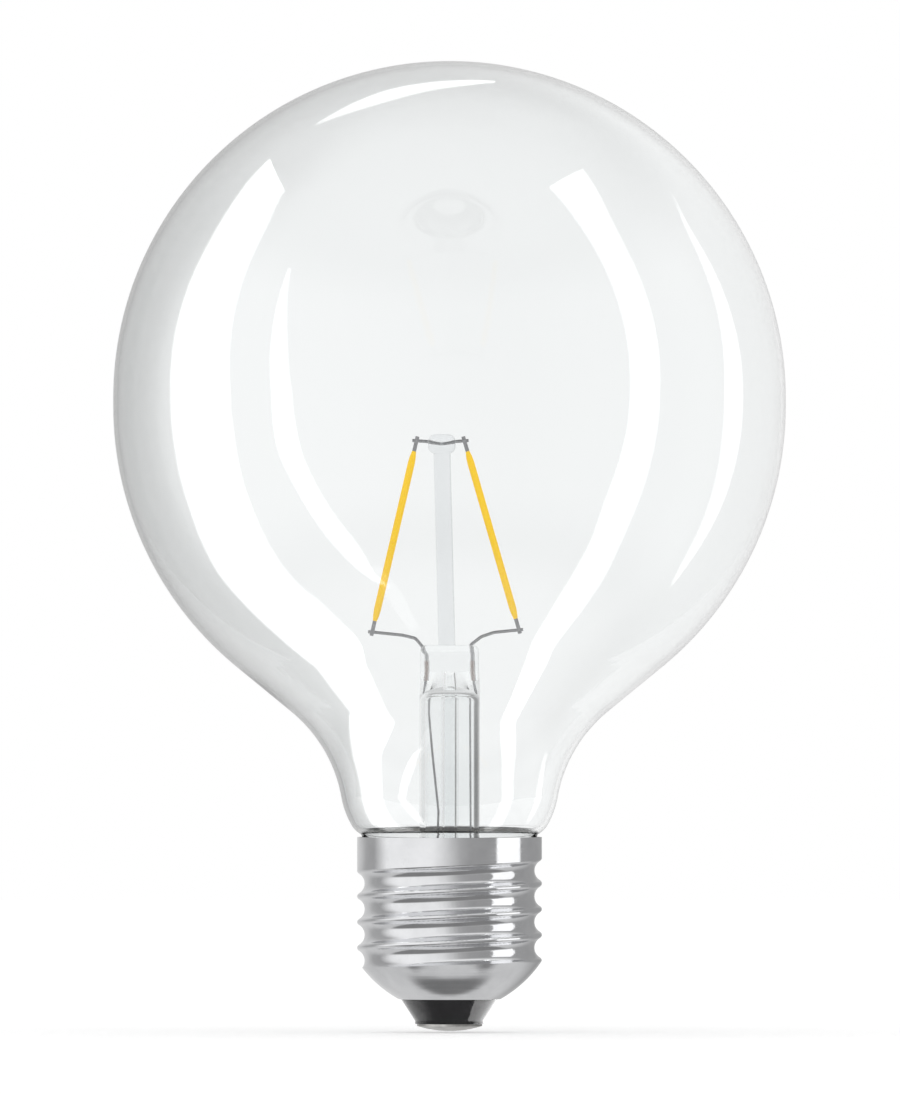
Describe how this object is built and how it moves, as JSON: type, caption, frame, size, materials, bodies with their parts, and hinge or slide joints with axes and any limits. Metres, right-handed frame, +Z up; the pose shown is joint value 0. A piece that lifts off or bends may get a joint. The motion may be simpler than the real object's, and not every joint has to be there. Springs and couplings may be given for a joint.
{
  "type": "globe bulb",
  "caption": "Clear glass globe bulb with straight yellow LED filaments on a glass stem and a round-thread screw cap with a centre contact.",
  "frame": {"origin": "outermost point of the centre contact, on the lamp's axis", "axes": "+Z up the lamp's axis to the top of the globe, +X to the right in the plane of the filaments, -Y towards the viewer"},
  "size_m": [0.095, 0.095, 0.137],
  "materials": {
    "clear_glass": "clear, smooth, fire-polished",
    "filament": "yellow phosphor silicone, satin",
    "wire": "drawn, dull nickel grey",
    "seal_wire": "copper-clad, seen dark through the glass",
    "cap_metal": "rolled sheet, polished",
    "contact_metal": "plated, satin",
    "black_glass": "black, opaque, glossy",
    "cement": "cured basing cement, matt",
    "circuit_board": "green solder mask",
    "component_black": "moulded black resin",
    "capacitor_sleeve": "shrunk sleeve",
    "resistor_body": "lacquered body with tinned wires"
  },
  "bodies": {
    "root": {"glass_envelope": "clear_glass", "stem_tube": "clear_glass", "exhaust_tube": "clear_glass", "stem_post": "clear_glass", "filament_left": "filament", "filament_right": "filament", "upper_tab_left": "wire", "upper_tab_right": "wire", "lower_tab_left": "wire", "lower_tab_right": "wire", "bridge_wire": "wire", "inner_lead_left": "wire", "inner_lead_right": "wire", "seal_wire_left": "seal_wire", "seal_wire_right": "seal_wire", "outer_lead_left": "wire", "outer_lead_right": "wire", "screw_shell": "cap_metal", "base_insulator": "black_glass", "center_contact": "contact_metal", "basing_cement": "cement", "driver_board": "circuit_board", "bridge_rectifier": "component_black", "driver_chip": "component_black", "smoothing_capacitor": "capacitor_sleeve", "fuse_resistor": "resistor_body", "shell_lead": "wire"}
  },
  "joints": []
}
